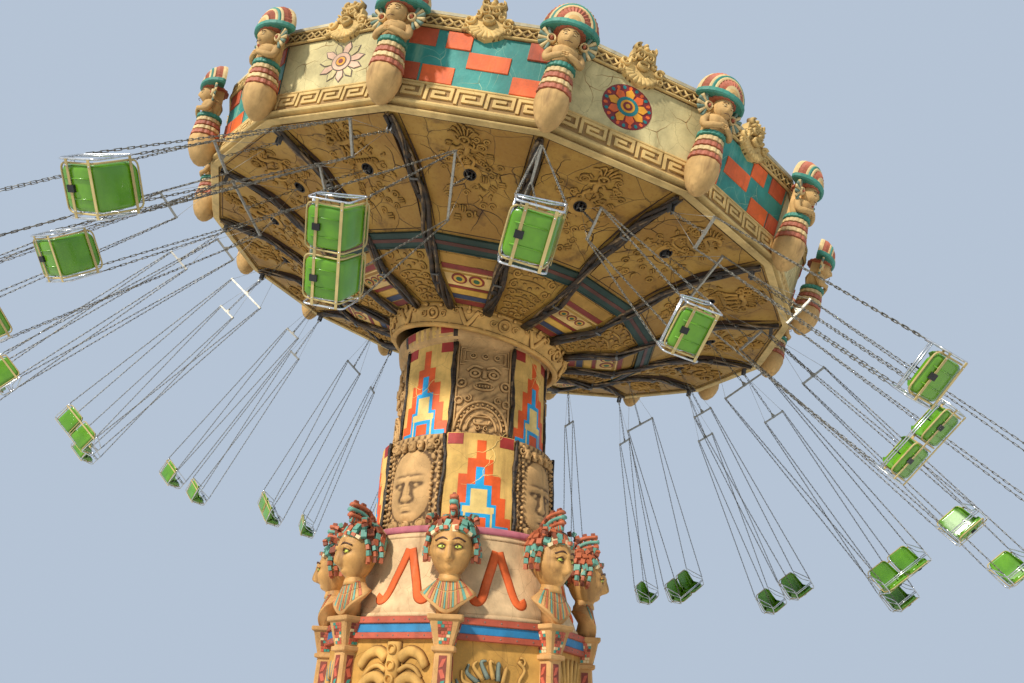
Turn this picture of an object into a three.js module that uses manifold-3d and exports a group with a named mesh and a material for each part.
// Chair swing ride: a tilting, turning canopy on a telescoping column over an eight-sided plinth.
// The frame is +Z up, with the origin on the floor under the middle of the column, in millimetres.
// The viewer's side is -Y. Angles are in degrees, counted from +X towards +Y.

import * as THREE from 'three';
import { mergeVertices } from 'three/addons/utils/BufferGeometryUtils.js';
import Module from 'manifold-3d';

const wasm = await Module();
wasm.setup();

// Counts and directions
const CANOPY_SIDES = 16;
const BASE_SIDES = 8;
const CORNER_AZIMUTH = 275.3;
const PILLAR_AZIMUTH = 265.7;
const PANEL_JOINT_AZIMUTH = 255;
const CANOPY_STEP = 360 / CANOPY_SIDES;
const BASE_STEP = 360 / BASE_SIDES;
const HALF_SIDE = THREE.MathUtils.degToRad(CANOPY_STEP / 2);

// Tilt of the canopy, and how far the chairs are thrown out as it turns
const TILT_AZIMUTH = 330.5;
const TILT = 12;
const THROW_MEAN = 39.5;
const THROW_WAVE = 11.5;
const THROW_PEAK_AZIMUTH = 304.5;

// Plinth, pillars and skirt
const TOUCH = 0.3;
const PLINTH_TOP = 3130;
const PLINTH_FLOOR = 60;
const COLUMN_BORE = 1800;
const PLINTH_WALL = 2280;
const PLINTH_FOOT = 2360;
const PLINTH_BAND = 2370;
const PLINTH_BAND_BOTTOM = 2800;
const PLINTH_FOOT_TOP = 260;
const PLINTH_BEVEL = 60;
const PILLAR_RING = 2310;
const SKIRT_TOP = 4650;
const SKIRT_FOOT = 2200;

// Two telescoping column stages
const LOWER_RADIUS = 1720;
const LOWER_BORE = 1620;
const LOWER_TOP = 6380;
const LOWER_BOTTOM = 2600;
const LOWER_SHOE = 3300;
const UPPER_RADIUS = 1520;
const UPPER_BORE = 1440;
const UPPER_BOTTOM = 4400;
const SHOE_HEIGHT = 100;
const DECK_HEIGHT = 8000;
const DECK_THICKNESS = 100;
const NECK_HEIGHT = 8320;

// Tilt joint at the column's head
const PIVOT_HEIGHT = 8740;
const HEAD_RADIUS = 1630;
const PIN_RADIUS = 120;
const LUG_CENTRE = 560;
const LUG_THICKNESS = 120;
const LUG_HALF_WIDTH = 220;
const HEAD_PLATE_RADIUS = 1000;
const HEAD_PLATE_BOTTOM = 350;
const HEAD_PLATE_TOP = 550;

// Canopy, in its own frame: z is counted from the tilt pivot along the turning axis
const HUB_RADIUS = 1900;
const HUB_TOP = 650;
const SOFFIT = [[HUB_RADIUS, 264], [3000, 460], [4200, 1110], [5000, 1390], [6090, 1500]];
const SOFFIT_THICKNESS = 50;
const RIB_WIDTH = 160;
const RIB_DEPTH = 140;
const RIB_END = 6060;
const RING_IN = 3400;
const RING_OUT = 3700;
const RIM_INNER = 6100;
const RIM_OUTER = 6200;
const RIM_BOTTOM = 1450;
const FASCIA_BOTTOM = 1600;
const BOARD_BOTTOM = 2000;
const BOARD_TOP_RADIUS = 6350;
const CORNICE_BOTTOM = 2900;
const CORNICE_OUTER = 6380;
const FASCIA_TOP = 3150;
const ROOF_EDGE = 6420;
const ROOF_CAP_RADIUS = 950;
const ROOF_TOP = 4500;
const MAST_RADIUS = 350;
const MAST_TOP = 4000;
const BEAM_BOTTOM = 1660;
const BEAM_DEPTH = 140;
const BEAM_WIDTH = 120;

// Hang points of the swings
const OUTER_HANG = [5900, 1250];
const INNER_HANG = [4800, 1320];
const PORT_RADIUS = 180;
const HANG_PIN_RADIUS = 14;
const LINK_THICKNESS = 50;
const CHEEK_GAP = LINK_THICKNESS / 2 + TOUCH;
const CHEEK_THICKNESS = 20;
const CHEEK_WIDTH = 70;

// One swing, hanging along -Z from its pin; the rider faces -Y and the outside is +X
const LINK_WIDTH = 50;
const SPREADER_DROP = 1150;
const SPREADER_DEPTH = 50;
const CHAIN_WIDTH = 22;
const SEAT_BOTTOM = 5790;
const SEAT_BACK_TOP = 5330;
const ARM_DROP = 5530;
const SEAT_FRONT = -230;
const SEAT_REAR = 230;
const TUBE = 24;
const SHELL_WIDTH = 420;
const SHELL_WALL = 25;
const SINGLE = { half: 260, shells: [0] };
const DOUBLE = { half: 520, shells: [-250, 250] };

const paint = (color, roughness, metalness = 0) =>
  new THREE.MeshStandardMaterial({ color, roughness, metalness });
const finish = {
  ochre: paint(0xc09a50, 0.85),
  sand: paint(0xd8bd92, 0.85),
  stone: paint(0xcaa468, 0.9),
  bark: paint(0x33271b, 0.9),
  cream: paint(0xd2bb80, 0.85),
  figure: paint(0xc99e68, 0.8),
  steel: paint(0x6e7174, 0.5, 0.8),
  chair: paint(0x4f9620, 0.4),
  canvas: paint(0xb8ab8a, 0.9),
};

const radians = THREE.MathUtils.degToRad;
const point = (x, y, z) => new THREE.Vector3(x, y, z);
const polar = (radius, azimuth, z) =>
  point(radius * Math.cos(radians(azimuth)), radius * Math.sin(radians(azimuth)), z);

// Solids

function toSolid(geometry) {
  const bare = geometry.clone();
  bare.deleteAttribute('normal');
  bare.deleteAttribute('uv');
  const welded = mergeVertices(bare, 1e-3);
  const corners = welded.index.array;
  const kept = [];
  for (let i = 0; i < corners.length; i += 3) {
    const [a, b, c] = corners.slice(i, i + 3);
    if (a !== b && b !== c && c !== a) {
      kept.push(a, b, c);
    }
  }
  return new wasm.Manifold(new wasm.Mesh({
    numProp: 3,
    vertProperties: new Float32Array(welded.attributes.position.array),
    triVerts: new Uint32Array(kept),
  }));
}

const join = (solids) => solids.reduce((whole, next) => whole.add(next));

function box(low, high) {
  const geometry = new THREE.BoxGeometry(high[0] - low[0], high[1] - low[1], high[2] - low[2]);
  geometry.translate((low[0] + high[0]) / 2, (low[1] + high[1]) / 2, (low[2] + high[2]) / 2);
  return toSolid(geometry);
}

// A turned shape about Z from [radius, height] pairs, with a corner at the given azimuth.
function turned(profile, sides, azimuth) {
  let area = 0;
  profile.forEach(([r, z], i) => {
    const [nextR, nextZ] = profile[(i + 1) % profile.length];
    area += r * nextZ - nextR * z;
  });
  const ordered = area > 0 ? profile.slice() : profile.slice().reverse();
  const start = ordered.findIndex(([r], i) => r === 0 && ordered.at(i - 1)[0] === 0);
  const open = start >= 0;
  const rolled = open ? ordered.slice(start).concat(ordered.slice(0, start)) : ordered.concat([ordered[0]]);
  const geometry = new THREE.LatheGeometry(rolled.map(([r, z]) => new THREE.Vector2(r, z)), sides);
  geometry.rotateX(Math.PI / 2);
  geometry.rotateZ(radians(azimuth + 90));
  return toSolid(geometry);
}

// An outline of [u, v] pairs pushed to both sides of a plane that the two axes span.
function slab(outline, halfWidth, uAxis, vAxis, holes = []) {
  const shape = new THREE.Shape(outline.map(([u, v]) => new THREE.Vector2(u, v)));
  shape.holes = holes.map((hole) => new THREE.Path(hole.map(([u, v]) => new THREE.Vector2(u, v))));
  const geometry = new THREE.ExtrudeGeometry(shape, { depth: 2 * halfWidth, bevelEnabled: false });
  geometry.translate(0, 0, -halfWidth);
  const across = uAxis.clone().cross(vAxis);
  geometry.applyMatrix4(new THREE.Matrix4().makeBasis(uAxis, vAxis, across));
  return toSolid(geometry);
}

const radialSlab = (outline, halfWidth) => slab(outline, halfWidth, point(1, 0, 0), point(0, 0, 1));
const sideSlab = (outline, halfWidth, holes) => slab(outline, halfWidth, point(0, 1, 0), point(0, 0, 1), holes);

function moved(solid, matrix) {
  return solid.transform(matrix.elements);
}

const shifted = (solid, x, y, z) => moved(solid, new THREE.Matrix4().makeTranslation(x, y, z));
const spun = (solid, azimuth) => moved(solid, new THREE.Matrix4().makeRotationZ(radians(azimuth)));

function mesh(name, solid, material) {
  const { vertProperties, triVerts } = solid.asOriginal().getMesh();
  const geometry = new THREE.BufferGeometry();
  geometry.setAttribute('position', new THREE.BufferAttribute(new Float32Array(vertProperties), 3));
  geometry.setIndex(new THREE.BufferAttribute(new Uint32Array(triVerts), 1));
  geometry.computeVertexNormals();
  const piece = new THREE.Mesh(geometry, material);
  piece.name = name;
  return piece;
}

const numbered = (stem, index) => `${stem}_${String(index + 1).padStart(2, '0')}`;

// Plinth: an eight-sided wall with a foot course and a band course, open down to its floor for the column

const plinthOutline = [
  [PLINTH_FOOT, 0],
  [PLINTH_FOOT, PLINTH_FOOT_TOP],
  [PLINTH_WALL, PLINTH_FOOT_TOP + PLINTH_BEVEL],
  [PLINTH_WALL, PLINTH_BAND_BOTTOM],
  [PLINTH_BAND, PLINTH_BAND_BOTTOM + 40],
  [PLINTH_BAND, PLINTH_TOP],
];

const grown = (profile, axisRadius) => profile.map(([r, z]) => [r === axisRadius ? r : r + 2 * TOUCH, z]);

function plinthWall() {
  const wall = turned([[0, 0], ...plinthOutline, [0, PLINTH_TOP]], BASE_SIDES, PILLAR_AZIMUTH);
  const over = PLINTH_TOP + 10;
  const bore = [[0, PLINTH_FLOOR], [COLUMN_BORE, PLINTH_FLOOR], [COLUMN_BORE, over], [0, over]];
  return wall.subtract(turned(bore, CANOPY_SIDES, PANEL_JOINT_AZIMUTH));
}

// A pillar is square, narrows up its shaft and spreads into a capital, and clasps a plinth corner.
function pillar(plinthCut) {
  const diagonal = Math.SQRT2;
  const widths = [[230, 0], [230, 250], [160, 330], [140, 2660], [250, 3050], [270, 3060], [270, PLINTH_TOP]];
  const profile = [[0, 0], ...widths.map(([half, z]) => [half * diagonal, z]), [0, PLINTH_TOP]];
  const shaft = shifted(turned(profile, 4, 45), PILLAR_RING, 0, 0);
  return spun(shaft, PILLAR_AZIMUTH).subtract(plinthCut);
}

// Skirt: a concave cone from the plinth up to the column, with a bore that guides the lower stage

const skirtOutline = [
  [SKIRT_FOOT, PLINTH_TOP + TOUCH],
  [2030, 3600],
  [1920, 4150],
  [1880, 4520],
  [1880, SKIRT_TOP],
];

function skirt() {
  const profile = [[COLUMN_BORE, PLINTH_TOP + TOUCH], ...skirtOutline, [COLUMN_BORE, SKIRT_TOP]];
  return turned(profile, CANOPY_SIDES, PANEL_JOINT_AZIMUTH);
}

// A bust: shoulders under a collar, a neck, a head and a plumed headdress with a crest that curls forward.
function bust(skirtCut) {
  const profile = [
    [0, 0], [190, 0], [440, 350], [190, 500], [270, 620], [330, 900], [440, 1050],
    [450, 1300], [300, 1500], [0, 1600],
  ];
  const depthShare = 0.78;
  const body = moved(turned(profile, 8, 22.5), new THREE.Matrix4().makeScale(depthShare, 1, 1));
  const crest = radialSlab([
    [-260, 1350], [-190, 1640], [0, 1840], [240, 1870], [300, 1790], [90, 1640], [60, 1450],
  ], 110);
  const whole = shifted(body.add(crest), PILLAR_RING, 0, PLINTH_TOP + TOUCH);
  return spun(whole, PILLAR_AZIMUTH).subtract(skirtCut);
}

// Column stages: each is a tube with a guide shoe that slides in the bore below it

function columnLower() {
  return turned([
    [LOWER_BORE, LOWER_BOTTOM],
    [LOWER_RADIUS, LOWER_BOTTOM],
    [LOWER_RADIUS, LOWER_SHOE],
    [COLUMN_BORE - TOUCH, LOWER_SHOE],
    [COLUMN_BORE - TOUCH, LOWER_SHOE + SHOE_HEIGHT],
    [LOWER_RADIUS, LOWER_SHOE + SHOE_HEIGHT],
    [LOWER_RADIUS, LOWER_TOP],
    [LOWER_BORE, LOWER_TOP],
  ], CANOPY_SIDES, PANEL_JOINT_AZIMUTH);
}

// The upper stage ends in a round head about the tilt pivot, with a deck inside that carries two lugs.
function columnUpper() {
  const headHeights = [380, 200, 100];
  const head = headHeights.map((drop) => [Math.sqrt(HEAD_RADIUS ** 2 - drop ** 2), PIVOT_HEIGHT - drop]);
  const tube = turned([
    [0, DECK_HEIGHT],
    [UPPER_BORE, DECK_HEIGHT],
    [UPPER_BORE, UPPER_BOTTOM],
    [LOWER_BORE - TOUCH, UPPER_BOTTOM],
    [LOWER_BORE - TOUCH, UPPER_BOTTOM + SHOE_HEIGHT],
    [UPPER_RADIUS, UPPER_BOTTOM + SHOE_HEIGHT],
    [UPPER_RADIUS, NECK_HEIGHT],
    ...head,
    [1560, head[2][1]],
    [UPPER_BORE, DECK_HEIGHT + DECK_THICKNESS],
    [0, DECK_HEIGHT + DECK_THICKNESS],
  ], CANOPY_SIDES, PANEL_JOINT_AZIMUTH);
  const boreRadius = (PIN_RADIUS + TOUCH) / Math.cos(Math.PI / 16) + 0.1;
  const bore = pivotBar(-LUG_CENTRE - LUG_THICKNESS, LUG_CENTRE + LUG_THICKNESS, boreRadius);
  const lugs = [-LUG_CENTRE, LUG_CENTRE].map((along) => tiltTurned(box(
    [-LUG_HALF_WIDTH, along - LUG_THICKNESS / 2, DECK_HEIGHT + DECK_THICKNESS - 20],
    [LUG_HALF_WIDTH, along + LUG_THICKNESS / 2, PIVOT_HEIGHT + LUG_HALF_WIDTH],
  )));
  const drilled = join(lugs).subtract(shifted(bore, 0, 0, PIVOT_HEIGHT));
  return tube.add(drilled);
}

// Turns a solid so that its X points down the slope of the tilt and its Y lies along the tilt axis.
function tiltTurned(solid) {
  return spun(solid, TILT_AZIMUTH);
}

function pivotBar(from, to, radius) {
  const sides = 16;
  const geometry = new THREE.CylinderGeometry(radius, radius, to - from, sides);
  geometry.translate(0, (from + to) / 2, 0);
  return tiltTurned(toSolid(geometry));
}

// Tilting head: a block on a cross pin, with the round plate that the canopy turns on
function tiltHead() {
  const blockHalf = LUG_CENTRE - LUG_THICKNESS / 2 - 10;
  const block = tiltTurned(box([-200, -blockHalf, -160], [200, blockHalf, HEAD_PLATE_BOTTOM + 20]));
  const plate = turned([
    [0, HEAD_PLATE_BOTTOM],
    [HEAD_PLATE_RADIUS, HEAD_PLATE_BOTTOM],
    [HEAD_PLATE_RADIUS, HEAD_PLATE_TOP],
    [0, HEAD_PLATE_TOP],
  ], CANOPY_SIDES, TILT_AZIMUTH);
  const pinEnd = LUG_CENTRE + LUG_THICKNESS / 2 + 40;
  return join([block, plate, pivotBar(-pinEnd, pinEnd, PIN_RADIUS)]);
}

// Canopy

function hubCollar() {
  return turned([
    [0, HEAD_PLATE_TOP + TOUCH],
    [1350, HEAD_PLATE_TOP + TOUCH],
    [1700, 360],
    [1700, -150],
    [1800, -150],
    [1870, 10],
    [HUB_RADIUS, 120],
    [HUB_RADIUS, 360],
    [1800, 560],
    [1400, HUB_TOP],
    [0, HUB_TOP],
  ], CANOPY_SIDES, CORNER_AZIMUTH);
}

// Ceiling shell, with a round port through the middle of each side for the inner hangers
function soffit() {
  const under = SOFFIT.map(([r, z], i) => [i === 0 ? r + 2 * TOUCH : r, z]);
  const over = under.map(([r, z]) => [r, z + SOFFIT_THICKNESS]).reverse();
  const shell = turned([...under, ...over], CANOPY_SIDES, CORNER_AZIMUTH);
  const drill = new THREE.CylinderGeometry(PORT_RADIUS, PORT_RADIUS, 600, 6);
  drill.rotateX(Math.PI / 2);
  drill.translate(INNER_HANG[0], 0, INNER_HANG[1]);
  const port = toSolid(drill);
  const ports = join(innerAzimuths().map((azimuth) => spun(port, azimuth)));
  return shell.subtract(ports);
}

const cornerAzimuths = () => Array.from({ length: CANOPY_SIDES }, (_, i) => CORNER_AZIMUTH + i * CANOPY_STEP);
const innerAzimuths = () => cornerAzimuths().map((azimuth) => azimuth + CANOPY_STEP / 2);

function soffitHeight(radius) {
  const next = SOFFIT.findIndex(([r]) => r >= radius);
  const [r0, z0] = SOFFIT[next - 1];
  const [r1, z1] = SOFFIT[next];
  return z0 + (z1 - z0) * (radius - r0) / (r1 - r0);
}

// Two cheeks and a cross pin that a swing's eye hangs on
function fork(hang, top) {
  const [radius, height] = hang;
  const cheeks = [-1, 1].map((side) => {
    const inner = side * CHEEK_GAP;
    const outer = side * (CHEEK_GAP + CHEEK_THICKNESS);
    return box(
      [radius - CHEEK_WIDTH / 2, Math.min(inner, outer), height - CHEEK_WIDTH / 2],
      [radius + CHEEK_WIDTH / 2, Math.max(inner, outer), top],
    );
  });
  const reach = CHEEK_GAP + CHEEK_THICKNESS / 2;
  const pin = new THREE.CylinderGeometry(HANG_PIN_RADIUS, HANG_PIN_RADIUS, 2 * reach, 6);
  pin.translate(radius, 0, height);
  return join([...cheeks, toSolid(pin)]);
}

// Root-like ribs under the ceiling, a flat ring that ties them, and a fork at each rib's outer end
function soffitRibs() {
  const radii = SOFFIT.map(([r]) => Math.min(r + 4 * TOUCH, RIB_END));
  const profile = radii.map((r) => [r, soffitHeight(r) - 2 * TOUCH]);
  const outline = [...profile.map(([r, z]) => [r, z - RIB_DEPTH]), ...profile.slice().reverse()];
  const rib = radialSlab(outline, RIB_WIDTH / 2);
  const forkTop = soffitHeight(OUTER_HANG[0]) - RIB_DEPTH + 20;
  const ribs = cornerAzimuths().map((azimuth) => spun(rib.add(fork(OUTER_HANG, forkTop)), azimuth));
  const ringTop = (radius) => soffitHeight(radius) - 2 * TOUCH;
  const ring = turned([
    [RING_IN, ringTop(RING_IN) - RIB_DEPTH / 2],
    [RING_OUT, ringTop(RING_OUT) - RIB_DEPTH / 2],
    [RING_OUT, ringTop(RING_OUT)],
    [RING_IN, ringTop(RING_IN)],
  ], CANOPY_SIDES, CORNER_AZIMUTH);
  return join([...ribs, ring]);
}

// Steelwork above the ceiling: a mast, radial beams to the rim, a ring beam and a fork over each port
function canopyFrame() {
  const beamTop = BEAM_BOTTOM + BEAM_DEPTH;
  const mast = turned(
    [[0, HUB_TOP + TOUCH], [MAST_RADIUS, HUB_TOP + TOUCH], [MAST_RADIUS, MAST_TOP - TOUCH], [0, MAST_TOP - TOUCH]],
    8,
    CORNER_AZIMUTH,
  );
  const end = RIM_INNER - TOUCH - 60;
  const beam = box([MAST_RADIUS / 2, -BEAM_WIDTH / 2, BEAM_BOTTOM], [end, BEAM_WIDTH / 2, beamTop]);
  const outer = (INNER_HANG[0] + BEAM_WIDTH / 2) / Math.cos(HALF_SIDE);
  const ring = turned(
    [[outer - BEAM_WIDTH, BEAM_BOTTOM], [outer, BEAM_BOTTOM], [outer, beamTop], [outer - BEAM_WIDTH, beamTop]],
    CANOPY_SIDES,
    CORNER_AZIMUTH,
  );
  const forks = innerAzimuths().map((azimuth) => spun(fork(INNER_HANG, BEAM_BOTTOM + 20), azimuth));
  const beams = cornerAzimuths().filter((_, i) => i % 2 === 0).map((azimuth) => spun(beam, azimuth));
  return join([mast, ring, ...beams, ...forks]);
}

const fasciaOutline = [
  [RIM_OUTER, FASCIA_BOTTOM],
  [RIM_OUTER, BOARD_BOTTOM],
  [BOARD_TOP_RADIUS, CORNICE_BOTTOM],
  [CORNICE_OUTER, CORNICE_BOTTOM],
  [CORNICE_OUTER, FASCIA_TOP],
];

// Upright frieze round the rim, boards that lean outwards over it, and a cornice
function rimFascia() {
  const profile = [[RIM_INNER, FASCIA_BOTTOM], ...fasciaOutline, [RIM_INNER, FASCIA_TOP]];
  return turned(profile, CANOPY_SIDES, CORNER_AZIMUTH);
}

// A figure with a fan headdress, a pleated skirt and a pointed bulb that hangs past the rim
function cornerFigure() {
  const profile = [[0, 0], [200, 230], [255, 600], [205, 980], [250, 1180], [190, 1380], [150, 1640], [0, 1900]];
  const body = turned(profile, 6, 0);
  const fanRadius = 500;
  const fanHeight = 1620;
  const fanSteps = 5;
  const fan = Array.from({ length: fanSteps + 1 }, (_, i) => {
    const angle = Math.PI * i / fanSteps;
    return [fanRadius * Math.cos(angle), fanHeight + fanRadius * Math.sin(angle)];
  });
  const whole = body.add(shifted(sideSlab([...fan, [-200, 1400], [200, 1400]], 70), -90, 0, 0));
  const lean = new THREE.Matrix4().makeRotationY(radians(9));
  return shifted(moved(whole, lean), 6420, 0, 1300);
}

// Rim moulding with a figure on each corner
function cornerFigures() {
  const moulding = turned([
    [RIM_INNER, RIM_BOTTOM],
    [RIM_OUTER + 60, RIM_BOTTOM],
    [RIM_OUTER + 100, RIM_BOTTOM + 70],
    [RIM_OUTER + 60, FASCIA_BOTTOM - TOUCH],
    [RIM_INNER, FASCIA_BOTTOM - TOUCH],
  ], CANOPY_SIDES, CORNER_AZIMUTH);
  const clearance = grown([
    [0, FASCIA_BOTTOM - TOUCH / 2],
    ...fasciaOutline.map(([r, z], i) => [r, i === 0 ? z - TOUCH / 2 : z]),
    [CORNICE_OUTER, FASCIA_TOP + TOUCH],
    [ROOF_EDGE, FASCIA_TOP + TOUCH / 2],
    [ROOF_EDGE, FASCIA_TOP + 500],
    [0, FASCIA_TOP + 500],
  ], 0);
  const cut = turned(clearance, CANOPY_SIDES, CORNER_AZIMUTH);
  const figures = cornerAzimuths().map((azimuth) => spun(cornerFigure(), azimuth).subtract(cut));
  return join([moulding, ...figures]);
}

// Low hipped roof with a stepped cap
function roof() {
  return turned([
    [RIM_INNER, FASCIA_TOP + TOUCH],
    [ROOF_EDGE, FASCIA_TOP + TOUCH],
    [ROOF_EDGE, FASCIA_TOP + 60],
    [ROOF_CAP_RADIUS, 4120],
    [ROOF_CAP_RADIUS, 4270],
    [500, 4330],
    [450, 4440],
    [0, ROOF_TOP],
    [0, MAST_TOP],
    [900, MAST_TOP],
  ], CANOPY_SIDES, CORNER_AZIMUTH);
}

// Swings

// A moulded seat: an open-fronted shell with low sides that rise to the back
function seatShell() {
  const bottom = -(SEAT_BOTTOM - TUBE / 2);
  const backTop = -SEAT_BACK_TOP - 20;
  const outer = [[-225, bottom + 90], [-205, bottom], [150, bottom], [225, backTop], [165, backTop], [60, bottom + 190]];
  const floor = bottom + SHELL_WALL;
  const inner = [[-400, floor], [128, floor], [200, backTop + 10], [-400, backTop + 10]];
  const halfInner = SHELL_WIDTH / 2 - SHELL_WALL;
  return sideSlab(outer, SHELL_WIDTH / 2).subtract(sideSlab(inner, halfInner));
}

// One side of a swing in one plane: two chains that part below the spreader, over the chair's tube frame
function swingSide() {
  const top = -SPREADER_DROP - SPREADER_DEPTH / 2;
  const front = -ARM_DROP;
  const back = -SEAT_BACK_TOP;
  const outline = [
    [-CHAIN_WIDTH, top], [SEAT_FRONT, front], [SEAT_FRONT, -SEAT_BOTTOM], [SEAT_REAR, -SEAT_BOTTOM],
    [SEAT_REAR, back], [CHAIN_WIDTH, top],
  ];
  const gap = [[0, top - 200], [SEAT_FRONT + 1.1 * CHAIN_WIDTH, front + 14], [SEAT_REAR - 1.1 * CHAIN_WIDTH, back]];
  const opening = [
    [SEAT_FRONT + TUBE, -SEAT_BOTTOM + TUBE], [SEAT_REAR - TUBE, -SEAT_BOTTOM + TUBE],
    [SEAT_REAR - TUBE, back - TUBE], [SEAT_FRONT + TUBE, front - TUBE / 2],
  ];
  return sideSlab(outline, TUBE / 2, [gap, opening]);
}

// Flat T of link and spreader, with the eye that turns on the fork's pin
function hanger(half) {
  const side = LINK_WIDTH / 2;
  const end = half + TUBE / 2;
  const upper = -SPREADER_DROP + SPREADER_DEPTH / 2;
  const lower = upper - SPREADER_DEPTH;
  const outline = [
    [-side, side], [-side, upper], [-end, upper], [-end, lower], [end, lower], [end, upper], [side, upper],
    [side, side],
  ];
  const radius = (HANG_PIN_RADIUS + TOUCH) / Math.cos(Math.PI / 6);
  const eye = Array.from({ length: 6 }, (_, i) => {
    const angle = Math.PI * i / 3;
    return [radius * Math.sin(angle), radius * Math.cos(angle)];
  });
  return slab(outline, LINK_THICKNESS / 2, point(1, 0, 0), point(0, 0, 1), [eye]);
}

function swing({ half, shells }) {
  const parts = [
    hanger(half),
    shifted(swingSide(), -half, 0, 0),
    shifted(swingSide(), half, 0, 0),
    box([-half, SEAT_FRONT + 2, -ARM_DROP - 100], [half, SEAT_FRONT + TUBE - 2, -ARM_DROP - 80]),
    box([-half, -80, -SEAT_BOTTOM + 2], [half, 100, -SEAT_BOTTOM + TUBE - 2]),
  ];
  for (const middle of shells) {
    parts.push(shifted(seatShell(), middle, 0, 0));
  }
  return join(parts);
}

const throwAngle = (azimuth) =>
  THROW_MEAN + THROW_WAVE * Math.cos(radians(azimuth - THROW_PEAK_AZIMUTH));

// Places a swing on its pin, turned to its azimuth and thrown outwards.
function hung(name, solid, hang, azimuth) {
  const piece = mesh(name, solid, finish.chair);
  piece.position.copy(polar(hang[0], azimuth, hang[1]));
  piece.rotation.set(0, -radians(throwAngle(azimuth)), radians(azimuth), 'ZYX');
  return piece;
}

// Assembly

const ride = new THREE.Group();
const plinthCut = turned(
  grown([[0, -10], [PLINTH_FOOT, -10], ...plinthOutline.slice(1, 5), [PLINTH_BAND, PLINTH_TOP + 10],
    [0, PLINTH_TOP + 10]], 0),
  BASE_SIDES,
  PILLAR_AZIMUTH,
);
const skirtCut = turned(grown([[0, PLINTH_TOP], ...skirtOutline, [0, SKIRT_TOP]], 0), CANOPY_SIDES,
  PANEL_JOINT_AZIMUTH);
ride.add(mesh('plinth_wall', plinthWall(), finish.ochre));
ride.add(mesh('skirt', skirt(), finish.sand));
for (let i = 0; i < BASE_SIDES; i += 1) {
  const turn = radians(i * BASE_STEP);
  const post = mesh(numbered('pillar', i), pillar(plinthCut), finish.stone);
  post.rotation.z = turn;
  ride.add(post);
}
for (let i = 0; i < BASE_SIDES; i += 1) {
  const head = mesh(numbered('bust', i), bust(skirtCut), finish.figure);
  head.rotation.z = radians(i * BASE_STEP);
  ride.add(head);
}
ride.add(mesh('column_lower', columnLower(), finish.cream));
ride.add(mesh('column_upper', columnUpper(), finish.cream));

const canopy = new THREE.Group();
canopy.position.z = PIVOT_HEIGHT;
const tiltAxis = polar(1, TILT_AZIMUTH + 90, 0);
canopy.quaternion.setFromAxisAngle(tiltAxis, radians(TILT));
canopy.add(mesh('tilt_head', tiltHead(), finish.steel));
canopy.add(mesh('hub_collar', hubCollar(), finish.ochre));
canopy.add(mesh('soffit', soffit(), finish.ochre));
canopy.add(mesh('soffit_ribs', soffitRibs(), finish.bark));
canopy.add(mesh('canopy_frame', canopyFrame(), finish.steel));
canopy.add(mesh('rim_fascia', rimFascia(), finish.cream));
canopy.add(mesh('corner_figures', cornerFigures(), finish.figure));
canopy.add(mesh('roof', roof(), finish.canvas));

const singleSwing = swing(SINGLE);
const doubleSwing = swing(DOUBLE);
cornerAzimuths().forEach((azimuth, i) => {
  canopy.add(hung(numbered('outer_swing', i), singleSwing, OUTER_HANG, azimuth));
});
innerAzimuths().forEach((azimuth, i) => {
  const solid = i % 2 === 1 ? doubleSwing : singleSwing;
  canopy.add(hung(numbered('inner_swing', i), solid, INNER_HANG, azimuth));
});
ride.add(canopy);

export default ride;
